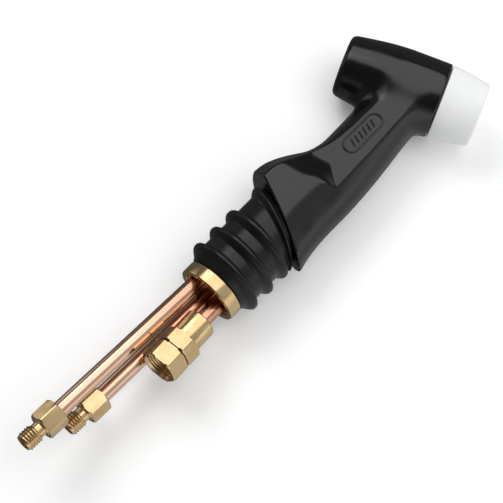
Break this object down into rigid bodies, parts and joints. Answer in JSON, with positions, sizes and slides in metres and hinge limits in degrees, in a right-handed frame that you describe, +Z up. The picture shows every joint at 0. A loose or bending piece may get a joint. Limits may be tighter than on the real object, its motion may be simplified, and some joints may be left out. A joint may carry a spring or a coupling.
{
  "type": "tig torch body",
  "caption": "Water-cooled TIG torch body lying on its side: moulded handle and T-head, ribbed tail, copper tubes, brass fittings with a free union nut, white cup gasket.",
  "frame": {"origin": "middle of the bounding box, on the bench that the torch lies on", "axes": "+X along the handle from the fittings towards the head, +Z up from the bench, so the cup end of the head points towards -Y and leans towards +X"},
  "size_m": [0.2356, 0.064, 0.0338],
  "materials": {
    "moulded_black": "gloss",
    "black_rubber": "satin",
    "brass": "machined",
    "copper": "drawn copper",
    "white_ptfe": "satin",
    "natural_nylon": "matte",
    "red_silicone": "matte"
  },
  "bodies": {
    "torch": {"body_moulding": "moulded_black", "ribbed_boot": "black_rubber", "tail_ring": "brass", "tube_plate": "copper", "gas_tube": "copper", "water_in_tube": "copper", "power_tube": "copper", "rear_tube_spacer": "natural_nylon", "front_tube_spacer": "natural_nylon", "gas_fitting": "brass", "water_in_fitting": "brass", "power_adaptor": "brass", "nut_retainer": "brass", "head_core": "brass", "water_jacket": "copper", "jacket_rear_ring": "brass", "jacket_front_ring": "brass", "rear_seal": "red_silicone", "front_insulator": "natural_nylon", "tube_manifold": "brass"},
    "nut": {"union_nut": "brass"},
    "gasket": {"cup_gasket": "white_ptfe"}
  },
  "joints": [
    {"name": "nut_swivel", "type": "hinge", "parent": "torch", "child": "nut", "pos_m": [-0.058, -0.00694, 0.0217], "axis": [-0.9905, -0.0475, 0.1288], "continuous": true},
    {"name": "gasket_pull", "type": "slide", "parent": "torch", "child": "gasket", "axis": [0.3665, -0.9304, 0], "range_m": [0, 0.0105]}
  ]
}
